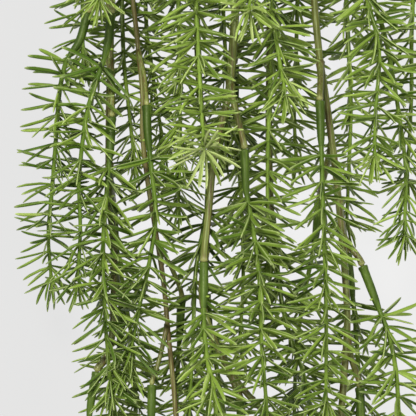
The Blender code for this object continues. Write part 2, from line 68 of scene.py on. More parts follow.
STEM_RADIUS = 1.7
THIN_STEMS = {"stem_02": 1.2}
TWIG_SHARE = 0.93
TWIG_FLARE = 0.45
TWIG_FLARE_LENGTH = 3.0
STEM_RIBS = 7
RIB_DEPTH = 0.12
SKIN_WAVE = 0.03
SKIN_WAVE_LENGTH = 9.0
CUT_END_SWELL = 0.22
CUT_END_LENGTH = 1.6

# Rings of a stem's skin: how far apart they are, and where the last ones stand round the peg's start
STEM_STEP = 4.0
LAST_RINGS = (-2.6, -1.2, 0.0, 0.4)
LAST_RINGS_ROOM = 3.5

# How far down from the main stem a stem is brown
BROWN_UNTIL = {"stem_02": 400.0, "stem_04": 70.0}

# Each stem: the angle of its port, its route, the spray at its end, and its twigs by spray
STEMS = {
    "stem_01": {
        "port": 175, "end": "r",
        "route": [(-10, 235, 51), (-29, 211.5, 58), (-45, 179, 62), (-51, 144, 62), (-52, 119, 62),
                  (-49, 99, 61), (-49, 74, 60), (-49.5, 44, 59), (-49.5, 4, 59), (-47.5, -13, 59),
                  (-47, -33, 59), (-47.5, -57.5, 60), (-49, -68.5, 61), (-52, -76.5, 62)],
        "twigs": {"a": [(-52, 119, 62), (-54, 108, 64), (-57, 101, 65)],
                  "b": [(-50.5, 139, 62), (-48.5, 119, 69), (-48, 106.5, 74)],
                  "c": [(-49, 74, 60), (-48, 61.5, 65), (-48, 51.5, 68.5)],
                  "y1": [(-15, 228, 53), (-21.5, 230, 55.5)],
                  "b5": [(-49.4, 22, 59), (-49.2, 14, 48), (-48.7, 7.5, 36)],
                  "b10": [(-47, -30, 59), (-45.8, -37, 53), (-44.5, -43, 46)]}},
    "stem_02": {
        "port": 215, "end": "s2e",
        "route": [(-8, 231.5, 44), (-19, 204, 52), (-31.5, 169, 52), (-37.5, 134, 52), (-38.5, 114, 52),
                  (-35.5, 84, 52), (-33, 57.5, 52), (-33, 37.5, 51), (-30.5, 14, 51), (-26.5, -11, 51),
                  (-22.5, -36.5, 51), (-20, -63, 52), (-17, -93, 52), (-16, -111, 51)],
        "twigs": {"d": [(-35, 79, 52), (-32, 66.5, 58), (-31, 58, 63)],
                  "z": [(-29, 176.5, 52), (-38, 173, 44), (-44, 167, 38)],
                  "aa": [(-20.5, -58.5, 52), (-23.5, -72, 56), (-26.5, -83, 59)],
                  "b9": [(-25.5, -17, 51), (-20.5, -26, 46), (-16, -36, 37)]}},
    "stem_03": {
        "port": 95, "end": "p",
        "route": [(2, 231.5, 56), (10, 199, 68), (14.5, 159, 74), (15, 129, 75), (14, 104, 75),
                  (13, 84, 75), (10.5, 57.5, 75), (4, 32.5, 79), (2, 18, 81), (0.5, 0.5, 83),
                  (-1.5, -18.5, 84)],
        "twigs": {"f": [(11, 61.5, 75), (13, 51, 75), (16, 39, 75.5)],
                  "n": [(3, 228, 57), (11, 218, 64), (15, 211, 69)]}},
    "stem_04": {
        "port": 15, "end": "x",
        "route": [(7, 235, 52), (27, 211.5, 58), (44, 179, 62), (51, 144, 62), (52.5, 119, 62),
                  (53, 104, 62), (55.5, 77.5, 62), (59, 54, 62), (63, 24.5, 62), (65.5, 0.5, 62),
                  (68.5, -33.5, 62), (69.5, -59.5, 62), (67.5, -89.5, 62), (65.5, -116, 62)],
        "twigs": {"h": [(56, 73, 62), (56, 63, 68)],
                  "g": [(67, -14, 62), (70.5, -19, 63), (74.5, -24, 65)],
                  "w": [(69.5, -63.5, 62), (71.5, -75, 60), (74.5, -83, 58.5)],
                  "b4": [(51.5, 141.5, 62), (58.5, 142, 48), (65, 141, 36)],
                  "m": [(47.5, 164, 62), (44, 151.5, 57), (37.5, 135, 50)],
                  "b7": [(62, 32, 62), (59.5, 21, 50), (57.5, 11, 36)],
                  "b8": [(65.5, 4, 62), (67, -5, 50), (69, -14, 36)]}},
    "stem_05": {
        "port": 135, "end": "e",
        "route": [(-4.5, 238, 59), (-10, 221.5, 72), (-12, 201.5, 80), (-10, 186.5, 85)],
        "twigs": {"y2": [(-10, 221.5, 72), (-20, 225.5, 74), (-30, 222, 77)]}},
    "stem_06": {
        "port": 55, "end": "j",
        "route": [(15, 229, 66), (36, 215, 71), (55, 194, 72), (67, 169, 72), (72.5, 146.5, 72)],
        "twigs": {"l": [(15, 229, 66), (19.5, 220, 73), (23, 211, 78)],
                  "i": [(55, 194, 72), (60.5, 187, 76), (64, 180, 78)]}},
    "stem_07": {
        "port": -25, "end": "k",
        "route": [(9, 239, 46), (41, 224, 50), (71, 204, 56), (91, 181.5, 60), (98.5, 169, 60)],
        "twigs": {"b3": [(41, 224, 50), (46, 206.5, 44), (47, 189, 38)]}},
    "stem_08": {
        "port": 255, "end": "t",
        "route": [(-2.5, 235, 38), (-6, 204, 34), (-8, 174, 32), (-7, 134, 32), (-6, 104, 32),
                  (-5, 74, 32), (-3.5, 49, 31), (0, 34, 29)],
        "twigs": {"b1": [(-6, 204, 34), (-16, 198, 32), (-26, 190, 31)],
                  "b2": [(-4.2, 220, 36), (2, 204, 38), (7, 189, 40)],
                  "b13": [(-5.2, 212, 35), (-10, 203, 37), (-13, 193, 38.5)]}},
    "stem_09": {
        "port": 295, "end": "u",
        "route": [(4.5, 235, 38), (18, 204, 32), (26, 174, 30), (30, 144, 29), (31.5, 114, 28),
                  (31.5, 84, 27), (31, 54, 27), (31, 24, 30), (31.5, 8, 34.5)],
        "twigs": {"v": [(31.5, 99, 27.5), (24, 91, 24.5), (17, 83, 22)]}},
    "stem_10": {
        "port": None, "end": "b11",
        "route": [(0, 235, 46), (6, 204, 48), (12.5, 164, 49), (14, 129, 49), (13.5, 104, 48),
                  (12.3, 84, 47), (10, 57.5, 46), (4.5, 34, 44), (2, 18, 42), (0.5, 2, 40),
                  (-1.5, -22, 36), (-3, -46, 38), (3, -66, 42), (11, -83.5, 46)],
        "twigs": {"b6": [(-1.5, -22, 36), (-1.6, -30, 31), (-1.5, -37, 26)],
                  "b12": [(11, -83.5, 46), (22, -96, 52), (33, -107, 57)]}},
}

# Each spray: the route of its axis, from the mouth of its socket to the root of its tip tuft
SPRAYS = {
    "e": [(-8.5, 175.5, 86), (-7, 134, 95), (-6, 104, 97), (-4.2, 66, 98), (-2.8, 42, 101),
          (-1.8, 28, 107)],
    "l": [(25, 204, 80), (27, 154, 92), (29, 114, 96), (34.5, 75.5, 98), (38, 55, 96)],
    "y2": [(-38, 216, 78), (-45, 184, 92), (-50, 149, 102), (-52.5, 119, 108), (-53, 101.5, 104)],
    "n": [(17, 205, 72), (20, 174, 84), (21, 139, 94), (21, 111.5, 102), (20, 95.5, 110)],
    "y1": [(-29, 229, 57), (-46, 201, 51), (-58, 166, 46), (-63, 129, 43), (-63.5, 99, 41), (-63, 76, 40)],
    "j": [(75, 134, 72), (82, 104, 74), (88, 84, 75), (94, 51, 75), (98, 19, 74), (97.5, -14, 71)],
    "i": [(66, 171.5, 80), (72, 134, 86), (78, 104, 90), (84, 77.5, 91), (82.5, 49, 90), (82, 25.5, 87)],
    "k": [(101, 159, 60), (103, 124, 58), (102, 84, 56), (102, 54, 54), (100, 14, 52)],
    "a": [(-60, 97, 66), (-64, 83, 68), (-70.5, 73, 68), (-74, 57.5, 66), (-75.5, 39, 64),
          (-78, 9, 60), (-80, -13.5, 57), (-78.5, -37, 54)],
    "b": [(-48, 96, 76), (-49.5, 82, 78), (-52, 72, 78), (-57, 58, 77), (-61, 41.5, 75), (-64, 14, 72),
          (-63.5, -11, 70), (-65, -38, 68)],
    "c": [(-48, 45, 70), (-48.5, 29, 73), (-50.5, 4, 75), (-52, -21, 75), (-51, -56, 72),
          (-48, -93.5, 66)],
    "d": [(-30.5, 51, 66), (-30, 37, 68), (-27.5, 14, 70), (-26, -4, 70), (-29, -26, 69),
          (-34, -48.5, 67), (-38, -68.5, 65), (-42.5, -83, 63)],
    "f": [(18, 29, 76), (19, 8, 78), (22.5, -12, 79), (25.5, -36, 78), (26.5, -66, 76), (29, -98, 72),
          (30, -122, 69)],
    "p": [(-2, -27, 84), (-2, -46, 88), (-2, -57.5, 89), (-0.5, -73, 90), (3.5, -96, 88),
          (5.5, -136, 84), (6, -177, 78)],
    "g": [(77, -29, 66), (85, -50, 68), (90, -63.5, 69), (93.5, -81, 68), (95, -103.5, 66),
          (96, -146, 62), (96, -176, 58)],
    "h": [(55.5, 53, 74), (56, 34, 77), (56.5, 14, 79), (57, -3.5, 80), (58, -30, 79), (58.5, -61, 78),
          (58.5, -97, 75)],
    "w": [(76, -90, 58), (77, -111, 60), (79, -146, 58), (78, -191, 54), (77, -236, 50)],
    "x": [(64.5, -127, 62), (63, -148.5, 62), (61, -191, 56), (62, -246, 48)],
    "s2e": [(-15.5, -118, 50), (-13, -141, 52), (-11, -176, 50), (-12, -216, 44), (-14, -253.5, 40)],
    "aa": [(-28, -88.5, 60), (-28.5, -108.5, 62), (-30, -146, 60), (-32, -191, 54), (-33, -232, 48)],
    "r": [(-55.5, -82, 62), (-58, -94, 63), (-60, -111, 63), (-63, -146, 60), (-64, -186, 56),
          (-63, -226, 50)],
    "t": [(2, 23, 28), (0, 4, 28), (-3, -14, 28), (-6, -30, 28), (-7, -48, 30), (-8, -76, 33),
          (-10, -111, 34)],
    "u": [(32, -3.5, 38), (34, -21, 42), (37, -46, 46), (41, -63.5, 48), (48, -83.5, 48),
          (51, -101, 46), (52, -146, 40)],
    "m": [(33.5, 121.5, 47), (32, 84, 50), (31, 54, 52), (30, 24, 52), (30, -3.5, 52), (31, -25, 50)],
    "v": [(13.5, 73, 21), (14.5, 39, 23), (17, 4, 24), (18, -36, 22), (16, -71, 20)],
    "z": [(-45, 160, 36), (-44.5, 134, 38), (-43.5, 104, 40), (-42.5, 74, 40), (-40, 49, 38),
          (-37, 21.5, 36)],
    "b1": [(-30, 180, 30), (-32, 134, 27), (-31.5, 94, 23), (-29, 74, 22), (-25.5, 49, 20),
           (-22.5, 30, 20)],
    "b2": [(8.5, 175, 40), (7, 134, 36), (8, 94, 32), (10, 59, 28), (9, 29, 26)],
    "b3": [(46, 174, 36), (46, 129, 32), (45, 84, 28), (44, 49, 26), (45, 25, 24)],
    "b4": [(69.5, 134, 30), (71, 94, 26), (73, 54, 22), (72, 19, 20), (71, -8.5, 18)],
    "b5": [(-48.5, 2, 27), (-47, -18, 23), (-43, -43, 20), (-38, -78, 18), (-37, -136, 18)],
    "b6": [(-1, -44, 22), (1, -64, 21), (6, -91, 20), (10, -126, 19), (9, -181, 18)],
    "b7": [(56.5, 3, 27), (54.5, -18, 22), (49, -46, 19), (45, -78, 18), (44, -136, 18)],
    "b8": [(71, -23, 26), (75, -56, 22), (77, -91, 20), (75, -131, 18), (72, -166, 18)],
    "b9": [(-13.5, -46, 30), (-14.5, -66, 26), (-16, -96, 22), (-16, -136, 20), (-18, -168.5, 18)],
    "b10": [(-43.8, -50, 40), (-44.5, -70, 39), (-48, -96, 37), (-50, -131, 34), (-52, -176, 28)],
    "b11": [(16, -97, 50), (18, -121, 50), (21, -156, 46), (22, -196, 40), (21, -236, 34)],
    "b12": [(41, -117, 60), (39, -136, 60), (37, -176, 54), (38, -216, 46), (39, -256, 38)],
    "b13": [(-14, 180, 40), (-16, 140, 46), (-15, 104, 49), (-14.5, 74, 50), (-14, 40, 48),
            (-14.5, 14, 46), (-15, 1, 45)],
}


def smooth_route(points, steps=8):
    """A smooth curve through the points, as closely spaced points."""
    inner = [Vector(p) for p in points]
    ends = [2 * inner[0] - inner[1]] + inner + [2 * inner[-1] - inner[-2]]
    curve = []
    for a, b, c, d in zip(ends, ends[1:], ends[2:], ends[3:]):
        for step in range(steps):
            t = step / steps
            curve.append(0.5 * (2 * b + (c - a) * t + (2 * a - 5 * b + 4 * c - d) * t ** 2
                                + (3 * b - a - 3 * c + d) * t ** 3))
    curve.append(inner[-1])
    return curve


class Route:
    """A curve that is read by the distance along it, with a side direction that doesn't twist."""

    def __init__(self, points):
        self.points = smooth_route(points)
        self.marks = [0.0]
        for a, b in zip(self.points, self.points[1:]):
            self.marks.append(self.marks[-1] + (b - a).length)
        self.length = self.marks[-1]
        self.tangents = [(b - a).normalized() for a, b in zip(self.points, self.points[1:])]
        side = self.tangents[0].cross(Vector((0, 0, 1))).normalized()
        self.sides = [side]
        for a, b in zip(self.tangents, self.tangents[1:]):
            side = a.rotation_difference(b) @ side
            self.sides.append(side)

    def at(self, distance):
        """Point, direction and side direction at a distance from the start."""
        index = int(np.searchsorted(self.marks, distance, side="right")) - 1
        index = min(max(index, 0), len(self.tangents) - 1)
        point = self.points[index] + self.tangents[index] * (distance - self.marks[index])
        return point, self.tangents[index], self.sides[index]


ROUTES = {spray: Route(points) for spray, points in SPRAYS.items()}


def port_place(stem):
    """Centre of a stem's port, on the end face of the main stem."""
    angle = STEMS[stem]["port"]
    if angle is None:
        return Vector((0, MAIN_END, MAIN_HEIGHT))
    x = PORT_RING * math.cos(math.radians(angle))
    z = MAIN_HEIGHT + PORT_RING * math.sin(math.radians(angle))
    return Vector((x, MAIN_END, z))


def stem_lines(stem):
    """The stem and its twigs, each as the points of its middle line down to the end of its peg."""
    port = port_place(stem)
    lines = [[port + Vector((0, PORT_PEG, 0)), port - Vector((0, PORT_LEAD, 0))]
             + [Vector(p) for p in STEMS[stem]["route"]]]
    ends = [STEMS[stem]["end"]]
    for spray, points in STEMS[stem]["twigs"].items():
        lines.append([Vector(p) for p in points])
        ends.append(spray)
    for line, spray in zip(lines, ends):
        mouth, along, _ = ROUTES[spray].at(0.0)
        line.append(mouth - along * SOCKET_LEAD)
        line.append(ROUTES[spray].at(SOCKET_PEG)[0])
    return lines


def linked_object(name, data):
    """An object with this mesh, lamp or lens, in the scene."""
    made = bpy.data.objects.new(name, data)
    bpy.context.scene.collection.objects.link(made)
    return made


def made_object(shape, name, material):
    """An object with the shape's mesh and one material."""
    mesh = bpy.data.meshes.new(name)
    shape.to_mesh(mesh)
    shape.free()
    mesh.materials.append(material)
    return linked_object(name, mesh)


def finish_piece(shape, name, material, nodes):
    """The finished piece in metres, at its place, standing for these CAD nodes."""
    bmesh.ops.translate(shape, verts=shape.verts, vec=SHIFT)
    bmesh.ops.scale(shape, verts=shape.verts, vec=(MM, MM, MM))
    piece = made_object(shape, name, material)
    piece.data.shade_smooth()
    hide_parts(*nodes)
    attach(piece, "root")


def open_rings(shape, route, marks, radius_at, sides):
    """A skin drawn along a route: a circle that is extruded from mark to mark and set to its radius."""
    ring = bmesh.ops.create_circle(shape, segments=sides, radius=1.0, cap_ends=False)["verts"]
    edges = list({edge for vert in ring for edge in vert.link_edges})
    rings = []
    for number, mark in enumerate(marks):
        if number:
            drawn = bmesh.ops.extrude_edge_only(shape, edges=edges)["geom"]
            ring = [item for item in drawn if isinstance(item, bmesh.types.BMVert)]
            edges = [item for item in drawn if isinstance(item, bmesh.types.BMEdge)]
            order = {}
            for vert in ring:
                before = [edge.other_vert(vert) for edge in vert.link_edges
                          if edge.other_vert(vert) in rings[-1]]
                order[rings[-1].index(before[0])] = vert
            ring = [order[k] for k in range(sides)]
        centre, along, side = route.at(mark)
        for k, vert in enumerate(ring):
            spin = Quaternion(along, 2 * math.pi * k / sides)
            vert.co = centre + spin @ side * radius_at(mark, k)
        rings.append(ring)
    return rings


def stem_shape(stem):
    """The skin of one stem and its twigs, each rooted well inside the stem.

    Its "groove" attribute holds how far up a rib a point is, which sets the painted shade between the ribs,
    how brown it is and how near a cut end.
    """
    shape = bmesh.new()
    groove = shape.verts.layers.float_color.new("groove")
    sides = 2 * STEM_RIBS
    for number, points in enumerate(stem_lines(stem)):
        route = Route(points)
        plain = THIN_STEMS.get(stem, STEM_RADIUS) * (TWIG_SHARE if number else 1.0)
        peg_at = route.length - SOCKET_PEG - SOCKET_BARE
        flare = TWIG_FLARE if number else 0.0
        brown_until = BROWN_UNTIL.get(stem, 0.0)

        def radius_at(mark, k):
            radius = plain * (1.0 + flare * math.exp(-mark / TWIG_FLARE_LENGTH))
            radius *= 1.0 + SKIN_WAVE * math.sin(mark / SKIN_WAVE_LENGTH + number)
            if mark > peg_at:
                return SOCKET_PEG_RADIUS
            if not number and mark < PORT_PEG + PORT_BARE:
                return PORT_PEG_RADIUS
            radius += CUT_END_SWELL * math.exp(-(peg_at - mark) / CUT_END_LENGTH)
            return radius + (RIB_DEPTH if k % 2 else -RIB_DEPTH)

        marks = list(np.arange(0.0, peg_at - LAST_RINGS_ROOM, STEM_STEP))
        marks += [peg_at + further for further in LAST_RINGS] + [route.length]
        rings = open_rings(shape, route, marks, radius_at, sides)
        for mark, ring in zip(marks, rings):
            brown = 0.0 if number or mark > brown_until else 1.0
            cut_end = math.exp(-abs(peg_at - mark) / CUT_END_LENGTH)
            for k, vert in enumerate(ring):
                vert[groove] = (float(k % 2), brown, cut_end, 1.0)
        bmesh.ops.contextual_create(shape, geom=rings[0])
        bmesh.ops.contextual_create(shape, geom=rings[-1])
    bmesh.ops.recalc_face_normals(shape, faces=shape.faces)
    return shape


def mottle_group():
    """Fine and broad unevenness of moulded plastic: a 0 to 1 value for each."""
    group = bpy.data.node_groups.new("moulded unevenness", "ShaderNodeTree")
    for name, side, kind in (("Fine scale", "INPUT", "Float"), ("Broad scale", "INPUT", "Float"),
                             ("Stretch", "INPUT", "Vector"), ("Fine", "OUTPUT", "Float"),
                             ("Broad", "OUTPUT", "Float")):
        group.interface.new_socket(name, in_out=side, socket_type="NodeSocket" + kind)
    nodes = group.nodes
    links = group.links
    inside = nodes.new("NodeGroupInput")
    outside = nodes.new("NodeGroupOutput")
    place = nodes.new("ShaderNodeTexCoord")
    stretch = nodes.new("ShaderNodeVectorMath")
    stretch.operation = "MULTIPLY"
    links.new(place.outputs["Object"], stretch.inputs[0])
    links.new(inside.outputs["Stretch"], stretch.inputs[1])
    for name in ("Fine", "Broad"):
        noise = nodes.new("ShaderNodeTexNoise")
        noise.inputs["Detail"].default_value = 3.0
        links.new(stretch.outputs[0], noise.inputs["Vector"])
        links.new(inside.outputs[name + " scale"], noise.inputs["Scale"])
        links.new(noise.outputs["Fac"], outside.inputs[name])
    return group


MOTTLE = mottle_group()


class Finish:
    """A material that is being built: short calls for the nodes that this object's plastics use."""

    def __init__(self, name):
        self.material = bpy.data.materials.new(name)
        self.material.use_nodes = True
        self.nodes = self.material.node_tree.nodes
        self.links = self.material.node_tree.links
        self.shader = self.nodes["Principled BSDF"]

    def give(self, socket, value):
        """Set an input to a plain value, or link it to the output of another node."""
        if isinstance(value, bpy.types.NodeSocket):
            self.links.new(value, socket)
        else:
            socket.default_value = value

    def mottle(self, fine, broad, stretch=(1, 1, 1)):
        """Fine and broad unevenness at these scales, drawn out along an axis by a small stretch."""
        node = self.nodes.new("ShaderNodeGroup")
        node.node_tree = MOTTLE
        node.inputs["Fine scale"].default_value = fine
        node.inputs["Broad scale"].default_value = broad
        node.inputs["Stretch"].default_value = stretch
        return node.outputs["Fine"], node.outputs["Broad"]

    def parts_of(self, attribute):
        """Red, green, blue and alpha of a vertex attribute."""
        read = self.nodes.new("ShaderNodeAttribute")
        read.attribute_name = attribute
        split = self.nodes.new("ShaderNodeSeparateColor")
        self.links.new(read.outputs["Color"], split.inputs[0])
        return split.outputs[0], split.outputs[1], split.outputs[2], read.outputs["Alpha"]

    def ramp(self, value, low, high, low_out=0.0, high_out=1.0):
        """A value turned from one range to another, held at both ends."""
        node = self.nodes.new("ShaderNodeMapRange")
        node.inputs["From Min"].default_value = low
        node.inputs["From Max"].default_value = high
        node.inputs["To Min"].default_value = low_out
        node.inputs["To Max"].default_value = high_out
        self.links.new(value, node.inputs["Value"])
        return node.outputs["Result"]

    def sums(self, operation, first, second):
        """Two values, the second of them plain or a socket, added or multiplied."""
        node = self.nodes.new("ShaderNodeMath")
        node.operation = operation
        self.give(node.inputs[0], first)
        self.give(node.inputs[1], second)
        return node.outputs[0]

    def mix(self, share, first, second):
        """Two colours, either of them plain or a socket, mixed by a share."""
        node = self.nodes.new("ShaderNodeMix")
        node.data_type = "RGBA"
        self.links.new(share, node.inputs["Factor"])
        for socket, value in ((node.inputs[6], first), (node.inputs[7], second)):
            self.give(socket, (*value, 1.0) if isinstance(value, tuple) else value)
        return node.outputs[2]

    def bump(self, height, strength, distance):
        """Low relief over the whole surface."""
        node = self.nodes.new("ShaderNodeBump")
        node.inputs["Strength"].default_value = strength
        node.inputs["Distance"].default_value = distance
        self.links.new(height, node.inputs["Height"])
        self.links.new(node.outputs["Normal"], self.shader.inputs["Normal"])

    def feed(self, name, value):
        """Give an input of the shader a value or colour."""
        self.give(self.shader.inputs[name], value)


OLIVE_SKIN = (0.112, 0.155, 0.018)
BROWN_SKIN = (0.112, 0.080, 0.020)
BROWN_LINE = (0.095, 0.050, 0.015)
PALE_LINE_AND_HIGHLIGHT = (0.290, 0.320, 0.120)
PALE_GRAIN = (0.22, 0.22, 0.08)
CUT_SKIN = (0.300, 0.310, 0.110)
STEM_GROOVE_SHADE = (0.045, 0.045, 0.012)
GRAIN_SCALES = (900.0, 14.0)
GRAIN_STRETCH = (1.0, 0.12, 1.0)
LINE_SCALES = (1500.0, 750.0)
LINE_STRETCH = (1.0, 0.03, 1.0)
LINE_RELIEF = 0.0002


def stem_plastic():
    """Satin olive plastic with fine lines along it, the pale ones partly painted highlight, browner in long
    patches, with painted shade between the ribs.
    """
    finish = Finish("olive stem skin")
    fine, broad = finish.mottle(*GRAIN_SCALES, GRAIN_STRETCH)
    ridge, brown, cut_end, _ = finish.parts_of("groove")
    patches = finish.sums("ADD", finish.ramp(broad, 0.42, 0.62), brown)
    lines, wide_lines = finish.mottle(*LINE_SCALES, LINE_STRETCH)
    skin = finish.mix(finish.ramp(patches, 0.3, 1.5), OLIVE_SKIN, BROWN_SKIN)
    skin = finish.mix(finish.ramp(wide_lines, 0.50, 0.40, 0.0, 0.8), skin, BROWN_LINE)
    # Fine pale lines along the stem: partly the grain of the skin, partly painted highlight
    skin = finish.mix(finish.ramp(lines, 0.54, 0.66, 0.0, 0.62), skin, PALE_LINE_AND_HIGHLIGHT)
    # Painted shade in the grooves between the ribs of the stem
    skin = finish.mix(finish.ramp(ridge, 0.0, 1.0, 0.55, 0.0), skin, STEM_GROOVE_SHADE)
    skin = finish.mix(finish.ramp(fine, 0.35, 0.7, 0.0, 0.28), skin, PALE_GRAIN)
    skin = finish.mix(finish.ramp(cut_end, 0.1, 1.0, 0.0, 0.7), skin, CUT_SKIN)
    finish.feed("Base Color", skin)
    finish.feed("Roughness", finish.ramp(lines, 0.3, 0.7, 0.55, 0.36))
    finish.feed("Specular IOR Level", 0.35)
    finish.bump(lines, 0.35, LINE_RELIEF)
    return finish.material


STEM_SKIN = stem_plastic()
for stem in STEMS:
    finish_piece(stem_shape(stem), "skin_" + stem, STEM_SKIN, [stem])


# Main stem
# A thick moulded stem that holds the upper ends of all the wires. It is ribbed like bark, has a plain
# collar where the stems come out, and is cut square at the top, where the ends of the wires show.

MAIN_TOP = 302.0

# Radius of the main stem at distances from its lower end: the collar, the slow taper and the cut end
MAIN_PROFILE = ((0.0, 7.2), (0.6, 7.9), (5.0, 8.0), (6.0, 7.5), (26.0, 7.3), (45.0, 7.1),
                (51.2, 7.1), (52.0, 6.4))
MAIN_SIDES = 66
BARK_FROM = 6.0
BARK_TO = 51.0
BARK_RINGS = (8.0, 50.0, 2.0)
BARK_RIDGES = 11
BARK_DEPTH = 0.28
BARK_WAVER = 0.9
BARK_WAVER_LENGTH = 7.0
END_RIM = 0.8
END_DISH = 0.5
WIRE_RING = 0.72
WIRE_SIDES = 10
WIRE_RADIUS = 0.62
WIRE_END_RADIUS = 0.55
WIRE_LENGTH = 1.6
WIRE_STAND = 0.15
BARK = (0.105, 0.080, 0.032)
BARK_GROOVE_SHADE = (0.030, 0.022, 0.010)
BARK_OLIVE = (0.085, 0.092, 0.034)
BARK_PALE = (0.20, 0.16, 0.08)
STEEL = (0.45, 0.44, 0.42)
BARK_SCALES = (700.0, 60.0)
BARK_STRETCH = (1.0, 0.25, 1.0)
BARK_RELIEF = 0.0004


def bark_ridge(mark, k):
    """Height of the bark at a distance along the main stem and a side of it, from -1 to 1."""
    if not BARK_FROM < mark < BARK_TO:
        return 0.0
    return math.sin(2 * math.pi * BARK_RIDGES * k / MAIN_SIDES
                    + BARK_WAVER * math.sin(mark / BARK_WAVER_LENGTH))


def main_stem_shape():
    """The ribbed stem with both ends dished, and the cut ends of the wires in the upper one."""
    shape = bmesh.new()
    groove = shape.verts.layers.float_color.new("groove")
    route = Route([(0, MAIN_END, MAIN_HEIGHT), (0, (MAIN_END + MAIN_TOP) / 2, MAIN_HEIGHT),
                   (0, MAIN_TOP, MAIN_HEIGHT)])
    places = [mark for mark, _ in MAIN_PROFILE]
    radii = [radius for _, radius in MAIN_PROFILE]
    marks = sorted(places + list(np.arange(*BARK_RINGS)))

    def radius_at(mark, k):
        return float(np.interp(mark, places, radii)) + BARK_DEPTH * bark_ridge(mark, k)

    rings = open_rings(shape, route, marks, radius_at, MAIN_SIDES)
    for mark, ring in zip(marks, rings):
        for k, vert in enumerate(ring):
            vert[groove] = (0.5 + 0.5 * bark_ridge(mark, k), 0.0, 0.0, 1.0)
    for ring in (rings[0], rings[-1]):
        face = bmesh.ops.contextual_create(shape, geom=ring)["faces"][0]
        bmesh.ops.inset_individual(shape, faces=[face], thickness=END_RIM, depth=-END_DISH)
    for number in range(len(STEMS)):
        angle = 2 * math.pi * number / (len(STEMS) - 1)
        ring = 0.0 if number == len(STEMS) - 1 else PORT_RING * WIRE_RING
        place = Vector((ring * math.cos(angle), MAIN_TOP + WIRE_STAND, MAIN_HEIGHT + ring * math.sin(angle)))
        turn = Matrix.Rotation(math.radians(90), 4, "X")
        wire = bmesh.ops.create_cone(shape, cap_ends=True, segments=WIRE_SIDES, radius1=WIRE_RADIUS,
                                     radius2=WIRE_END_RADIUS, depth=WIRE_LENGTH,
                                     matrix=Matrix.Translation(place) @ turn)
        for vert in wire["verts"]:
            vert[groove] = (1.0, 1.0, 0.0, 1.0)
    bmesh.ops.recalc_face_normals(shape, faces=shape.faces)
    return shape


def bark_plastic():
    """Matte brown plastic, with painted shade between the ridges and olive patches; the wires in it are bare
    steel.
    """
    finish = Finish("brown main stem")
    fine, broad = finish.mottle(*BARK_SCALES, BARK_STRETCH)
    ridge, wire, _, _ = finish.parts_of("groove")
    # Painted shade: the bark is darkened toward the valleys between its ridges
    bark = finish.mix(finish.ramp(ridge, 0.1, 0.8), BARK_GROOVE_SHADE, BARK)
    bark = finish.mix(finish.ramp(broad, 0.4, 0.65, 0.0, 0.6), bark, BARK_OLIVE)
    bark = finish.mix(finish.ramp(fine, 0.45, 0.75, 0.0, 0.4), bark, BARK_PALE)
    finish.feed("Base Color", finish.mix(wire, bark, STEEL))
    finish.feed("Metallic", wire)
    finish.feed("Roughness", finish.ramp(wire, 0.0, 1.0, 0.62, 0.35))
    finish.bump(fine, 0.4, BARK_RELIEF)
    return finish.material


finish_piece(main_stem_shape(), "bark_main_stem", bark_plastic(), ["main_stem"])


# Needle sprays
# Each is one moulding of soft green polyethylene: a ribbed dark socket that is pushed on a twig, a thin
# axis, and flat pointed needles in close whorls that lean towards the tip, where they end in a tuft.

# Radius of a socket at distances from its mouth, and more places where it has a ring
SOCKET_PROFILE = ((0.0, 2.3), (0.5, 2.5), (1.6, 2.46), (2.4, 2.26), (12.0, 2.15), (16.5, 1.95),
                  (19.3, 1.75), (21.2, 1.52), (22.6, 1.35))
SOCKET_RINGS = (5.0, 8.0, 10.5, 15.5)
SOCKET_LENGTH = 20.0
SOCKET_DEPTH = 7.0
SOCKET_BORE = 1.4
SOCKET_SIDES = 16
SOCKET_RIB = 0.13
SOCKET_RIB_FROM = 2.0
SOCKET_RIB_TO = 19.5
SOCKET_TONE = 0.5

# The stub that the mould's gate left on a socket
GATE_MARK = 17.2
GATE_ROOT = 1.6
GATE_REACH = 3.3
GATE_RADIUS = 0.75
GATE_TAPER = 0.6
GATE_SIDES = 7
GATE_TURN = 100.0
GATE_SHADE = (0.95, 0.5, 0.0, 0.4)

# The axis, which swells at each whorl and is darker near the socket
AXIS_ROOT_RADIUS = 1.35
AXIS_TIP_RADIUS = 0.9
AXIS_SIDES = 8
AXIS_RIB = 0.05
AXIS_START = SOCKET_LENGTH + 1.8
AXIS_RINGS_FROM = SOCKET_LENGTH + 2.5
WHORL_RINGS = (-1.6, -0.4, 0.9, 2.4)
WHORL_SWELL = 0.22
WHORL_SWELL_LENGTH = 0.9
AXIS_TONE = 0.42
# Painted highlight on the ribs of the axis
AXIS_RIB_HIGHLIGHT = 0.55
DARK_REACH = 30.0
DARK_AXIS = 0.2
DARK_AXIS_SOCKET = 0.6
DARK_NEEDLES = 0.15

# Whorls are evenly spaced up to the bare end, and the last two of them stand in it
WHORL_START = 19.0
WHORL_PITCH = 7.0
WHORL_JITTER = 1.0
WHORL_SPREAD = 0.8
BARE_END = 7.0
LAST_WHORLS = (5.0, 9.5)
NO_WHORL_PAST = 0.5
MOST_WHORLS = 100

# Needles, with turns and tilts in degrees, and tones from 0 for deep green to 1 for fresh green
NEEDLES_PER_WHORL = 8
NEEDLE_LENGTH = 18.6
NEEDLE_SPREAD = 2.2
NEEDLE_GROWTH = (0.95, 1.06)
NEEDLE_FOOT = 1.0
NEEDLE_ROOT = 0.4
NEEDLE_WIDTH = 1.95
NEEDLE_THINNING = 0.65
NEEDLE_WIDTHS = (0.8, 1.25)
NEEDLE_DEPTH = 0.6
NEEDLE_TILT = 17.0
NEEDLE_TILT_SPREAD = 12.0
WHORL_TILT_SPREAD = 8.0
NEEDLE_TURN_SPREAD = 25.0
NEEDLE_ROLL_SPREAD = 32.0
NEEDLE_TONE = 0.42
NEEDLE_TONE_SPREAD = 0.24
FIRST_REACH = 1.04
TIP_SHORTENING = 0.08
CLOSING_LENGTH = 20.0
CLOSING_TILT = 18.0
CLOSING_SHORTENING = 0.10

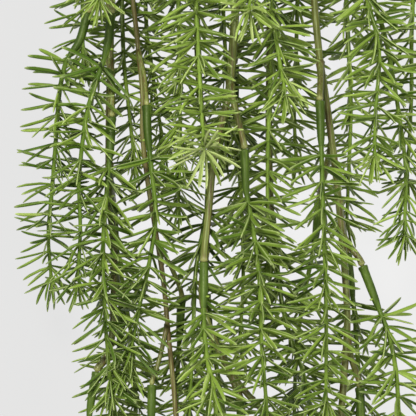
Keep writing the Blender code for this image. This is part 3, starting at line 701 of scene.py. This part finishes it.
# Needles of the tip tufts, with leans in degrees and turns in radians
TUFT_NEEDLES = 12
TUFT_LENGTHS = (13.0, 15.5)
TUFT_WIDTH = 1.5
TUFT_YOUNG_WIDTH = 0.4
TUFT_LEANS = (78, 20, 52, 4, 38)
TUFT_LEAN_SPREAD = 6.0
TUFT_TURN_SPREAD = 0.25
TUFT_ROOT = 0.5
TUFT_TONE = 0.45
TUFT_TONE_SPREAD = 0.15

# Ways to turn (degrees), tilt (degrees) and shorten a needle until it is clear
NEEDLE_TRIES = (
    (0, 0, 1.0), (10, 4, 1.0), (-10, 4, 1.0), (0, 12, 1.0), (0, -12, 1.0), (20, 8, 1.0), (-20, 8, 1.0),
    (0, 24, 1.0), (0, 0, 0.8), (16, 14, 0.85), (-16, 14, 0.85), (0, 8, 0.65),
)

# Rods that stand for what is already placed, and how near two of them are when they are tested
MOST_RODS = 12000
NEAR_MIDDLE = 22.0
NEEDLE_ROD = 0.45
NEEDLE_ROD_START = 2.0
SOCKET_ROD = 2.4
AXIS_ROD = 1.2
AXIS_ROD_LENGTH = 7.0

# Width of a needle along it, its section in half widths, and how much painted highlight each corner of it
# gets, most on the margins and none in the groove
BLADE_PROFILE = ((0.0, 0.50), (0.10, 0.74), (0.34, 0.98), (0.74, 1.0), (0.93, 0.74), (1.0, 0.26))
BLADE_SECTION = ((1.0, 0.0), (0.74, 0.42), (0.0, 0.08), (-0.74, 0.42), (-1.0, 0.0), (-0.55, -0.42),
                 (0.0, -0.62), (0.55, -0.42))
# Painted highlight on the margins, crests and keel of a needle
BLADE_PAINTED_HIGHLIGHT = (1.0, 0.55, 0.0, 0.55, 1.0, 0.1, 0.5, 0.1)

# Sideways and upward bow of each shape of needle, and where along it the bow starts
BLADE_BOWS = ((0.14, 0.06), (0.07, -0.07), (-0.02, 0.12), (-0.11, 0.03), (0.20, -0.03), (0.03, 0.0))
BOW_FROM = 0.15

# The height of the surface, and how needles that reach it are bent up
FLOOR = -SHIFT.z
FLOOR_GAP = 0.05
BEND_UP_FROM = 0.2

# How much lighter a spray is than most, how much paler its tip is, how many degrees its needles lean,
# how much shorter its needles or longer its tuft are, and how many needles a whorl of it has
# The lightness in the first table is partly each spray's own tone and partly painted light: m, v, z and most
# of the b sprays, which lie low, are made lighter to lift them out of the shade of the upper ones
SPRAY_TONE_AND_PAINTED_LIGHT = {"e": 0.18, "p": 0.22, "l": 0.05, "n": 0.09, "j": -0.02, "y2": 0.05, "f": 0.05, "g": 0.08,
                "r": 0.10, "x": 0.10, "w": 0.10, "a": -0.10, "y1": -0.08, "c": -0.10, "b": -0.12,
                "d": -0.10, "m": 0.12, "v": 0.18, "z": 0.15, "b1": 0.15, "b2": 0.15, "b3": 0.15,
                "b4": 0.15, "b5": 0.15, "b6": 0.2, "b7": 0.15, "b9": 0.25, "b10": 0.25, "b12": 0.2,
                "b13": 0.12}
YOUNG_TIPS = {"e": 0.7, "n": 0.45, "y2": 0.3, "p": 0.4, "l": 0.3, "i": 0.3}
LEANING = {"e": 10.0, "a": 12.0, "b": 12.0, "d": 14.0, "c": 22.0, "p": 24.0}
SHORT_SPRAYS = {"a": 0.92, "k": 0.9}
LONG_TUFTS = {"e": 1.45, "n": 1.2}
FULL_SPRAYS = {"k": 5, "j": 6, "a": 7, "b": 7, "c": 9, "h": 7, "b2": 10, "b13": 10, "e": 11, "f": 10,
               "u": 11, "v": 10, "m": 10}


class Placed:
    """Thin rods for what is already placed, so that no needle runs through another piece."""

    def __init__(self):
        self.start = np.zeros((MOST_RODS, 3))
        self.span = np.zeros((MOST_RODS, 3))
        self.radius = np.zeros(MOST_RODS)
        self.group = np.zeros(MOST_RODS, dtype=int)
        self.count = 0

    def add(self, start, end, radius, group):
        """One rod more; rods of one group aren't tested against each other."""
        k = self.count
        self.start[k] = start
        self.span[k] = np.array(end) - np.array(start)
        self.radius[k] = radius
        self.group[k] = group
        self.count += 1

    def is_clear(self, start, end, radius, group):
        """Whether a rod keeps clear of the others, by the nearest points of each pair of middle lines."""
        n = self.count
        begin = np.array(start)
        d1 = np.array(end) - begin
        middle = begin + d1 / 2 - self.start[:n] - self.span[:n] / 2
        near = (np.abs(middle).max(axis=1) < NEAR_MIDDLE) & (self.group[:n] != group)
        gap = begin - self.start[:n][near]
        d2 = self.span[:n][near]
        if not len(gap):
            return True
        a = d1 @ d1
        e = np.maximum((d2 * d2).sum(axis=1), 1e-9)
        b = d2 @ d1
        c = gap @ d1
        f = (d2 * gap).sum(axis=1)
        s = np.clip((b * f - c * e) / np.maximum(a * e - b * b, 1e-9), 0, 1)
        t = np.clip((b * s + f) / e, 0, 1)
        s = np.clip((b * t - c) / a, 0, 1)
        t = np.clip((b * s + f) / e, 0, 1)
        apart = np.linalg.norm(gap + s[:, None] * d1 - t[:, None] * d2, axis=1)
        return bool(np.all(apart > radius + self.radius[:n][near]))


def blade_master(bow, lift):
    """One needle of unit size, with a painted highlight on its margins, a groove above and a keel below,
    bent a little.
    """
    blade = bmesh.new()
    shade = blade.verts.layers.float_color.new("shade")
    route = Route([(0, 0, 0), (0, 0.5, 0), (0, 1, 0)])
    marks = [along for along, _ in BLADE_PROFILE]
    rings = open_rings(blade, route, marks, lambda mark, k: 1.0, len(BLADE_SECTION))
    for (along, width), ring in zip(BLADE_PROFILE, rings):
        bend = ((along - BOW_FROM) / (1.0 - BOW_FROM)) ** 2 * NEEDLE_LENGTH / NEEDLE_WIDTH
        for vert, (x, z), pale in zip(ring, BLADE_SECTION, BLADE_PAINTED_HIGHLIGHT):
            vert.co = (0.5 * width * x + bow * bend, along, 0.5 * width * z + lift * bend)
            vert[shade] = (0.0, along, 0.0, pale)
    bmesh.ops.contextual_create(blade, geom=rings[-1])
    bmesh.ops.recalc_face_normals(blade, faces=blade.faces)
    mesh = bpy.data.meshes.new("needle")
    blade.to_mesh(mesh)
    blade.free()
    return mesh


BLADES = [blade_master(bow, lift) for bow, lift in BLADE_BOWS]
BLADE_VERTS = len(BLADES[0].vertices)


def add_blade(shape, shade, master, root, tip, flat, width, tone):
    """A copy of a needle from root to tip, flat side to a direction, bent up where it meets the floor."""
    shape.from_mesh(master)
    verts = shape.verts[len(shape.verts) - BLADE_VERTS:]
    length = tip - root
    forward = length.normalized()
    across = (flat - forward * flat.dot(forward)).normalized()
    up = across.cross(forward)
    place = Matrix((across * width, length, up * width * NEEDLE_DEPTH * 2)).transposed().to_4x4()
    place.translation = root
    bmesh.ops.transform(shape, matrix=place, verts=verts)
    lowest = min(verts, key=lambda vert: vert.co.z)
    sunk = max(0.0, FLOOR + FLOOR_GAP - lowest.co.z)
    sunk_from = max(BEND_UP_FROM, lowest[shade][1])
    for vert in verts:
        vert.co.z += sunk * min(1.0, vert[shade][1] / sunk_from)
        vert[shade] = (tone, vert[shade][1], 0.0, vert[shade][3])


def add_socket(shape, shade, route, lightness):
    """The hollow ribbed sleeve, open at its mouth, with a shoulder that the axis leaves from."""
    bore = open_rings(shape, route, [SOCKET_DEPTH, 0.0], lambda mark, k: SOCKET_BORE, SOCKET_SIDES)
    places = [mark for mark, _ in SOCKET_PROFILE]
    radii = [radius for _, radius in SOCKET_PROFILE]

    def socket_radius(mark, k):
        rib = SOCKET_RIB if SOCKET_RIB_FROM < mark < SOCKET_RIB_TO else 0.0
        return float(np.interp(mark, places, radii)) + (rib if k % 2 else -rib)

    socket = open_rings(shape, route, sorted(places + list(SOCKET_RINGS)), socket_radius, SOCKET_SIDES)
    bmesh.ops.contextual_create(shape, geom=bore[0])
    mouth = [edge for ring in (bore[-1], socket[0]) for vert in ring for edge in vert.link_edges
             if edge.other_vert(vert) in ring]
    bmesh.ops.bridge_loops(shape, edges=list(set(mouth)))
    for ring in bore + socket:
        for k, vert in enumerate(ring):
            # The last value marks the ribs of the socket; the grooves between them get painted shade
            vert[shade] = (SOCKET_TONE + lightness, 0.0, 1.0, float(k % 2))


def gate_ends(number, route):
    """The stub's root in the wall of the socket, and its cut end."""
    centre, along, side = route.at(GATE_MARK)
    away = Quaternion(along, math.radians(GATE_TURN * number)) @ side
    return centre + away * GATE_ROOT, centre + away * GATE_REACH


def add_gate(shape, shade, number, route):
    """A short tapered stub, cut off square."""
    start, end = gate_ends(number, route)
    gate = bmesh.ops.create_cone(shape, cap_ends=True, segments=GATE_SIDES, radius1=GATE_RADIUS,
                                 radius2=GATE_TAPER * GATE_RADIUS, depth=(end - start).length)
    turn = (end - start).to_track_quat("Z", "Y").to_matrix().to_4x4()
    bmesh.ops.transform(shape, verts=gate["verts"], matrix=Matrix.Translation((start + end) / 2) @ turn)
    for vert in gate["verts"]:
        vert[shade] = GATE_SHADE


def whorl_marks(length, chance):
    """Where the whorls of a spray stand along its axis, closer together at the tip."""
    marks = list(np.arange(WHORL_START, length - BARE_END, WHORL_PITCH))
    marks = marks[:1] + [mark + chance.uniform(-WHORL_JITTER, WHORL_JITTER) for mark in marks[1:]]
    marks += [marks[-1] + further for further in LAST_WHORLS]
    return [mark for mark in marks if mark < length - NO_WHORL_PAST]


def nearness(mark):
    """How near a place on the axis is to the socket, from 1 at its shoulder to 0."""
    return max(0.0, 1.0 - (mark - SOCKET_LENGTH) / DARK_REACH)


def add_axis(shape, shade, route, whorls, lightness):
    """The thin ribbed axis with a swelling at each whorl."""
    marks = sorted({AXIS_START} | {whorl + further for whorl in whorls for further in WHORL_RINGS
                                   if AXIS_RINGS_FROM < whorl + further < route.length})
    stand = np.array(whorls)

    def axis_radius(mark, k):
        plain = AXIS_ROOT_RADIUS + mark / route.length * (AXIS_TIP_RADIUS - AXIS_ROOT_RADIUS)
        swell = WHORL_SWELL * math.exp(-(np.abs(stand - mark).min() / WHORL_SWELL_LENGTH) ** 2)
        return plain + swell + (AXIS_RIB if k % 2 else -AXIS_RIB)

    rings = open_rings(shape, route, marks, axis_radius, AXIS_SIDES)
    for mark, ring in zip(marks, rings):
        tone = AXIS_TONE + lightness - DARK_AXIS * nearness(mark)
        for k, vert in enumerate(ring):
            vert[shade] = (tone, 0.5, DARK_AXIS_SOCKET * nearness(mark), AXIS_RIB_HIGHLIGHT * (k % 2))
    bmesh.ops.contextual_create(shape, geom=rings[-1])


def clear_place(placed, base, along, side, turn, tilt, reach, closing, group):
    """Root, tip and direction of a needle that is clear of the rest, or nothing."""
    for turn_by, tilt_by, shorter in NEEDLE_TRIES:
        away = Quaternion(along, math.radians(turn + turn_by)) @ side
        lean = math.radians(tilt + tilt_by * (1.0 - closing))
        forward = away * math.cos(lean) + along * math.sin(lean)
        tip = base + forward * (reach * shorter + NEEDLE_FOOT)
        tip.z = max(tip.z, FLOOR)
        start = base + away * NEEDLE_ROD_START
        if placed.is_clear(start, tip, NEEDLE_ROD, group):
            placed.add(start, tip, NEEDLE_ROD, group)
            return base + away * NEEDLE_ROOT, tip, forward
    return None


def add_whorl(shape, shade, name, mark, group, grown, placed, chance):
    """The needles round the axis at one place, each turned, tilted or shortened until it is clear."""
    route = ROUTES[name]
    centre, along, side = route.at(mark)
    share = mark / route.length
    closing = max(0.0, 1.0 - (route.length - mark) / CLOSING_LENGTH)
    start_turn = chance.uniform(0, 360)
    whorl_tilt = LEANING.get(name, NEEDLE_TILT) + chance.gauss(0, WHORL_TILT_SPREAD)
    needles = FULL_SPRAYS.get(name, NEEDLES_PER_WHORL)
    for k in range(needles):
        turn = start_turn + 360.0 * k / needles + chance.uniform(-NEEDLE_TURN_SPREAD, NEEDLE_TURN_SPREAD)
        tilt = whorl_tilt + chance.gauss(0, NEEDLE_TILT_SPREAD) + CLOSING_TILT * closing
        reach = NEEDLE_LENGTH * grown + chance.uniform(-NEEDLE_SPREAD, NEEDLE_SPREAD)
        reach *= FIRST_REACH - TIP_SHORTENING * share - CLOSING_SHORTENING * closing
        base = centre + along * chance.uniform(-WHORL_SPREAD, WHORL_SPREAD)
        roll = chance.gauss(0, NEEDLE_ROLL_SPREAD)
        tone = chance.gauss(NEEDLE_TONE, NEEDLE_TONE_SPREAD) + SPRAY_TONE_AND_PAINTED_LIGHT.get(name, 0.0)
        tone = max(0.0, tone - DARK_NEEDLES * nearness(mark)) + YOUNG_TIPS.get(name, 0.0) * closing
        place = clear_place(placed, base, along, side, turn, tilt, reach, closing, group)
        if place:
            root, tip, forward = place
            flat = Quaternion(forward, math.radians(roll)) @ (along - forward * along.dot(forward))
            width = (NEEDLE_WIDTH - NEEDLE_THINNING * share) * chance.uniform(*NEEDLE_WIDTHS)
            add_blade(shape, shade, chance.choice(BLADES), root, tip, flat, width, tone)


def add_tuft(shape, shade, name, chance):
    """The needles that spread from the end of the axis."""
    end, along, side = ROUTES[name].at(ROUTES[name].length)
    young = YOUNG_TIPS.get(name, 0.0)
    for k in range(TUFT_NEEDLES):
        turn = 2 * math.pi * k / TUFT_NEEDLES + chance.uniform(-TUFT_TURN_SPREAD, TUFT_TURN_SPREAD)
        away = Quaternion(along, turn) @ side
        lean = TUFT_LEANS[k % len(TUFT_LEANS)] + chance.uniform(-TUFT_LEAN_SPREAD, TUFT_LEAN_SPREAD)
        lean = math.radians(lean)
        forward = away * math.cos(lean) + along * math.sin(lean)
        tip = end + forward * chance.uniform(*TUFT_LENGTHS) * LONG_TUFTS.get(name, 1.0)
        tip.z = max(tip.z, FLOOR)
        tone = chance.gauss(TUFT_TONE, TUFT_TONE_SPREAD) + SPRAY_TONE_AND_PAINTED_LIGHT.get(name, 0.0)
        tone = max(0.0, tone) + young
        width = TUFT_WIDTH + TUFT_YOUNG_WIDTH * young
        add_blade(shape, shade, chance.choice(BLADES), end - along * TUFT_ROOT, tip, along.orthogonal(),
                  width, tone)


def spray_shape(name, number, placed, chance):
    """One whole spray.

    Its "shade" attribute holds a point's tone, its place along its needle, whether it is on the socket, and
    how much painted highlight it gets, as margins, keels and ribs do; on a socket that last value marks its
    ribs, and the grooves between them get painted shade.
    """
    route = ROUTES[name]
    shape = bmesh.new()
    shade = shape.verts.layers.float_color.new("shade")
    lightness = SPRAY_TONE_AND_PAINTED_LIGHT.get(name, 0.0)
    add_socket(shape, shade, route, lightness)
    add_gate(shape, shade, number, route)
    whorls = whorl_marks(route.length, chance)
    add_axis(shape, shade, route, whorls, lightness)
    grown = chance.uniform(*NEEDLE_GROWTH) * SHORT_SPRAYS.get(name, 1.0)
    for whorl, mark in enumerate(whorls):
        add_whorl(shape, shade, name, mark, number * MOST_WHORLS + whorl, grown, placed, chance)
    add_tuft(shape, shade, name, chance)
    bmesh.ops.recalc_face_normals(shape, faces=shape.faces)
    return shape


DEEP_GREEN = (0.041, 0.085, 0.006)
FRESH_GREEN = (0.194, 0.285, 0.039)
YOUNG_GREEN = (0.410, 0.465, 0.200)
PALE_TIP_AND_HIGHLIGHT = (0.500, 0.560, 0.270)
SHEEN_TINT = (0.92, 1.0, 0.62, 1.0)
SOCKET_GREEN = (0.070, 0.116, 0.017)
# The dark green of the sockets, also used as painted shade in their grooves
SOCKET_DARK_AND_GROOVE_SHADE = (0.022, 0.046, 0.004)
SPECK_SCALES = (1400.0, 90.0)
STREAK_SCALES = (1600.0, 260.0)
STREAK_STRETCH = (1.0, 0.16, 1.0)
SPECK_RELIEF = 0.00015


def spray_plastic():
    """Soft satin green plastic: each needle its own green, paler at the tip, with painted highlight on its
    margins; dark sockets with painted shade in their grooves.
    """
    finish = Finish("moulded spray green")
    fine, broad = finish.mottle(*SPECK_SCALES)
    tone, along, socket, edge = finish.parts_of("shade")
    varied = finish.sums("ADD", tone, finish.ramp(broad, 0.3, 0.7, -0.18, 0.18))
    green = finish.mix(finish.ramp(varied, 0.05, 0.95), DEEP_GREEN, FRESH_GREEN)
    green = finish.mix(finish.ramp(varied, 0.9, 1.7), green, YOUNG_GREEN)
    green = finish.mix(finish.ramp(along, 0.86, 1.0, 0.0, 0.35), green, PALE_TIP_AND_HIGHLIGHT)
    green = finish.mix(finish.ramp(along, 0.0, 0.22, 0.35, 0.0), green, DEEP_GREEN)
    # Painted highlight: the margins, crests and keels of the needles and the ribs of the axis are made paler
    green = finish.mix(finish.ramp(edge, 0.45, 1.0, 0.0, 0.5), green, PALE_TIP_AND_HIGHLIGHT)
    green = finish.mix(finish.ramp(fine, 0.35, 0.75, 0.0, 0.25), green, DEEP_GREEN)
    _, streaks = finish.mottle(*STREAK_SCALES, STREAK_STRETCH)
    dark = finish.mix(finish.ramp(tone, 0.38, 0.54, 0.75, 0.0), SOCKET_GREEN, SOCKET_DARK_AND_GROOVE_SHADE)
    # Painted shade in the grooves between the ribs of a socket
    dark = finish.mix(finish.ramp(edge, 0.0, 1.0, 0.5, 0.0), dark, SOCKET_DARK_AND_GROOVE_SHADE)
    dark = finish.mix(finish.ramp(streaks, 0.52, 0.40, 0.0, 0.7), dark, SOCKET_DARK_AND_GROOVE_SHADE)
    dark = finish.mix(finish.ramp(streaks, 0.56, 0.70, 0.0, 0.45), dark, FRESH_GREEN)
    finish.feed("Base Color", finish.mix(socket, green, dark))
    finish.feed("Roughness", finish.ramp(fine, 0.3, 0.7, 0.40, 0.56))
    finish.feed("Specular IOR Level", 0.26)
    finish.feed("Specular Tint", SHEEN_TINT)
    finish.bump(fine, 0.2, SPECK_RELIEF)
    return finish.material


SPRAY_GREEN = spray_plastic()
SEED = 7

# Groups: stems from -1 down, sockets and axes from -100 down, whorls from 0 up
placed = Placed()
for number, stem in enumerate(STEMS):
    for points in stem_lines(stem):
        for a, b in zip(points, points[1:]):
            placed.add(a, b, STEM_RADIUS, -1 - number)
for number, spray in enumerate(SPRAYS):
    route = ROUTES[spray]
    own_group = -100 - number
    placed.add(route.at(0.0)[0], route.at(SOCKET_LENGTH)[0], SOCKET_ROD, own_group)
    placed.add(*gate_ends(number, route), GATE_RADIUS, own_group)
    for mark in np.arange(SOCKET_LENGTH, route.length, AXIS_ROD_LENGTH):
        placed.add(route.at(mark)[0], route.at(mark + AXIS_ROD_LENGTH)[0], AXIS_ROD, own_group)

seeded = random.Random(SEED)
for number, spray in enumerate(SPRAYS):
    shape = spray_shape(spray, number, placed, seeded)
    finish_piece(shape, "needles_" + spray, SPRAY_GREEN, ["spray_" + spray])


# Surface, light and camera
# A plain pale surface, soft light from above and the head of the bunch, and a long lens that looks
# straight down on the stretch of the bunch that the photograph shows.

# The surface glows as painted light, so that it stays pale in the gaps of the bunch, where the bunch's
# shadow falls. The glow is painted darker to the left and lightest under the bunch, where it lifts that
# shadow. Lengths are in metres, and MIDDLE_REACH is the square of one.
SURFACE_SIZE = 6.0
SURFACE_DROP = 0.0005
SURFACE_BASE = (0.03, 0.03, 0.03, 1.0)
FLOOR_LEFT = (0.725, 0.725, 0.725)
FLOOR_RIGHT = (0.800, 0.800, 0.800)
PAINTED_LIGHT_UNDER_BUNCH = (0.860, 0.860, 0.860)
FLOOR_REACH = 0.10
MIDDLE_REACH = 0.010
MIDDLE_LENGTHWAYS = 0.35

# Width of the view, heights of the camera and of the middle of the bunch, and the sensor, in millimetres
WINDOW = 208.0
CAMERA_HEIGHT = 1800.0
MIDDLE_HEIGHT = 60.0
SENSOR = 36.0

# How far the camera sees, and places and sizes of the lamps, in metres, with their power in watts
FAR_END = 20.0
LAMP_WHITE = (1.0, 0.985, 0.90)
LAMPS = {"key": ((-0.35, 0.65, 1.7), 0.5, 49.0), "fill": ((0.9, -0.5, 1.4), 1.2, 9.0)}
ROOM_WHITE = (1.0, 1.0, 1.0, 1.0)
ROOM_STRENGTH = 0.46


def pale_surface():
    """The surface that the bunch lies on, a little below its lowest needles, glowing as painted light."""
    finish = Finish("pale surface")
    place = finish.nodes.new("ShaderNodeTexCoord")
    split = finish.nodes.new("ShaderNodeSeparateXYZ")
    finish.links.new(place.outputs["Object"], split.inputs[0])
    x = split.outputs["X"]
    y = split.outputs["Y"]
    rightward = finish.ramp(x, -FLOOR_REACH, FLOOR_REACH)
    across = finish.sums("MULTIPLY", x, x)
    lengthways = finish.sums("MULTIPLY", y, y)
    apart = finish.sums("ADD", across, finish.sums("MULTIPLY", lengthways, MIDDLE_LENGTHWAYS))
    shadow_lift = finish.ramp(apart, 0.0, MIDDLE_REACH, 1.0, 0.0)
    plain = finish.mix(rightward, FLOOR_LEFT, FLOOR_RIGHT)
    finish.feed("Base Color", SURFACE_BASE)
    finish.feed("Roughness", 0.9)
    finish.feed("Specular IOR Level", 0.1)
    # Painted light: the glow is brightest under the bunch, where it lifts the bunch's shadow, and darker to
    # the left
    finish.feed("Emission Color", finish.mix(shadow_lift, plain, PAINTED_LIGHT_UNDER_BUNCH))
    finish.feed("Emission Strength", 1.0)
    shape = bmesh.new()
    bmesh.ops.create_grid(shape, x_segments=1, y_segments=1, size=SURFACE_SIZE)
    surface = made_object(shape, "pale_surface", finish.material)
    surface.location.z = -SURFACE_DROP


def soft_light(name, place, size, power):
    """A round lamp that faces the middle of the bunch."""
    lamp = bpy.data.lights.new(name, "AREA")
    lamp.shape = "DISK"
    lamp.size = size
    lamp.energy = power
    lamp.color = LAMP_WHITE
    holder = linked_object(name, lamp)
    holder.location = place
    holder.rotation_mode = "QUATERNION"
    holder.rotation_quaternion = (-Vector(place)).to_track_quat("-Z", "Y")


pale_surface()
for name, (place, size, power) in LAMPS.items():
    soft_light(name, place, size, power)

world = bpy.data.worlds.new("soft room")
world.use_nodes = True
world.node_tree.nodes["Background"].inputs["Color"].default_value = ROOM_WHITE
world.node_tree.nodes["Background"].inputs["Strength"].default_value = ROOM_STRENGTH
bpy.context.scene.world = world
bpy.context.scene.view_settings.view_transform = "Standard"

lens = bpy.data.cameras.new("camera")
lens.sensor_width = SENSOR
lens.lens = SENSOR * (CAMERA_HEIGHT - MIDDLE_HEIGHT) / WINDOW
lens.clip_end = FAR_END
camera = linked_object("camera", lens)
camera.location = (SHIFT + Vector((0.0, 0.0, CAMERA_HEIGHT))) * MM
bpy.context.scene.camera = camera
